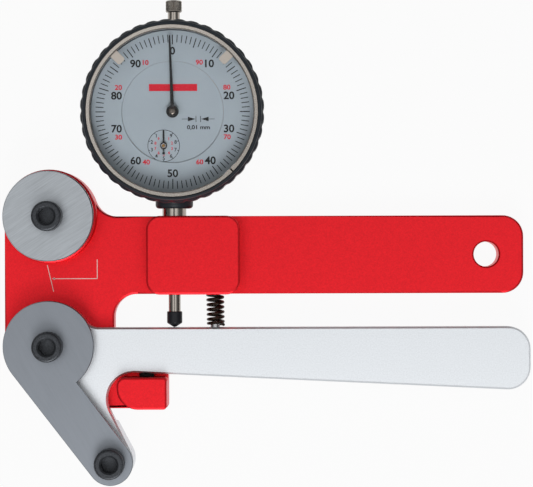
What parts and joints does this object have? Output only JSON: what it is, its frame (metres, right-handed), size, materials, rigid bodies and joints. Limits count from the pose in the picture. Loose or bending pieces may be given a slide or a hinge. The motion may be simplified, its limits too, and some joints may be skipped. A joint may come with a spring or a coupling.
{
  "type": "spoke tension meter",
  "caption": "Hand tool that bends a wheel spoke between contact bushes when its lever is squeezed, with a dial gauge that reads the bend.",
  "frame": {"origin": "on the lever's pivot axis, in the plane of the frame's back face", "axes": "+X along the handle towards the hanging hole, +Y across the handle towards the dial gauge, +Z out of the frame's back towards the spoke contacts and the dial's face"},
  "size_m": [0.1752, 0.1607, 0.0268],
  "materials": {
    "red_anodised": "satin red anodised",
    "silver_anodised": "satin clear anodised",
    "brushed_steel": "brushed in one direction",
    "dark_steel": "fine brushed",
    "hardened_steel": "ground",
    "black_oxide": "black oxide",
    "spring_wire": "black oiled wire",
    "nickel_plate": "nickel plated",
    "bright_ring": "bright nickel",
    "marker_metal": "satin nickel silver",
    "brass": "satin",
    "bronze": "sintered bronze",
    "black_enamel": "satin black",
    "black_bezel": "satin black moulded",
    "black_rubber": "matt",
    "tip_black": "black",
    "dial_enamel": "matt grey-blue printed sheet",
    "hand_black": "matt black",
    "crystal": "clear acrylic"
  },
  "bodies": {
    "frame": {"frame_plate": "red_anodised", "upper_disc": "brushed_steel", "upper_bush": "hardened_steel", "upper_screw": "black_oxide", "pivot_screw": "black_oxide", "pivot_sleeve": "hardened_steel", "stop_screw": "black_oxide", "stop_pad": "black_rubber", "stem_clamp_screw": "black_oxide", "return_spring": "spring_wire", "gauge_stem": "nickel_plate", "gauge_case": "black_enamel", "case_back": "black_enamel", "case_back_screws": "nickel_plate", "plunger_bushes": "nickel_plate", "rear_bridge": "brass", "movement_plate": "brass", "movement_pillars": "brass", "inner_dial": "dial_enamel", "hairspring": "spring_wire", "gauge_spring": "spring_wire"},
    "lever": {"lever_bar": "silver_anodised", "lever_bearing": "bronze", "pivot_bush": "hardened_steel", "arm_plate": "dark_steel", "lower_bush": "hardened_steel", "lower_screw": "black_oxide", "spring_peg": "hardened_steel"},
    "spindle": {"plunger_rod": "nickel_plate", "guide_pin": "hardened_steel", "contact_tip": "tip_black", "lift_knob": "nickel_plate"},
    "counter_train": {"counter_arbor": "hardened_steel", "counter_wheel": "brass", "counter_hand": "hand_black"},
    "centre_train": {"centre_pinion": "hardened_steel", "main_hand": "hand_black"},
    "hairspring_train": {"hairspring_wheel": "brass"},
    "bezel": {"bezel_ring": "black_bezel", "scale_ring": "dial_enamel", "crystal": "crystal", "retaining_ring": "bright_ring"},
    "left_marker": {"marker_left": "marker_metal"},
    "right_marker": {"marker_right": "marker_metal"}
  },
  "joints": [
    {"name": "lever_pivot", "type": "hinge", "parent": "frame", "child": "lever", "pos_m": [0, 0, 0.0107], "axis": [0, 0, 1], "range_deg": [0, 10], "stiffness_Nm_per_rad": 2, "springref_deg": -11.46, "deforming": ["return_spring", "gauge_spring", "hairspring"]},
    {"name": "spindle_slide", "type": "slide", "parent": "frame", "child": "spindle", "axis": [0, 1, 0], "range_m": [0, 0.01]},
    {"name": "counter_turn", "type": "hinge", "parent": "frame", "child": "counter_train", "pos_m": [0.03843, 0.06594, 0.0149], "axis": [0, 0, 1], "range_deg": [0, 360]},
    {"name": "centre_turn", "type": "hinge", "parent": "frame", "child": "centre_train", "pos_m": [0.0414, 0.0771, 0.0149], "axis": [0, 0, 1], "range_deg": [-3600, 0]},
    {"name": "hairspring_turn", "type": "hinge", "parent": "frame", "child": "hairspring_train", "pos_m": [0.04437, 0.08826, 0.0149], "axis": [0, 0, 1], "range_deg": [0, 360]},
    {"name": "bezel_turn", "type": "hinge", "parent": "frame", "child": "bezel", "pos_m": [0.0414, 0.0771, 0.022], "axis": [0, 0, 1], "continuous": true},
    {"name": "left_marker_slide", "type": "hinge", "parent": "bezel", "child": "left_marker", "pos_m": [0.0414, 0.0771, 0.0257], "axis": [0, 0, 1], "range_deg": [-40, 130]},
    {"name": "right_marker_slide", "type": "hinge", "parent": "bezel", "child": "right_marker", "pos_m": [0.0414, 0.0771, 0.0257], "axis": [0, 0, 1], "range_deg": [-130, 40]}
  ],
  "couplings": [
    {"joint": "spindle_slide", "follows": "lever_pivot", "m_per_rad": 0.0426},
    {"joint": "counter_turn", "follows": "lever_pivot", "ratio": 26.766},
    {"joint": "centre_turn", "follows": "lever_pivot", "ratio": -267.66},
    {"joint": "hairspring_turn", "follows": "lever_pivot", "ratio": 26.766}
  ]
}
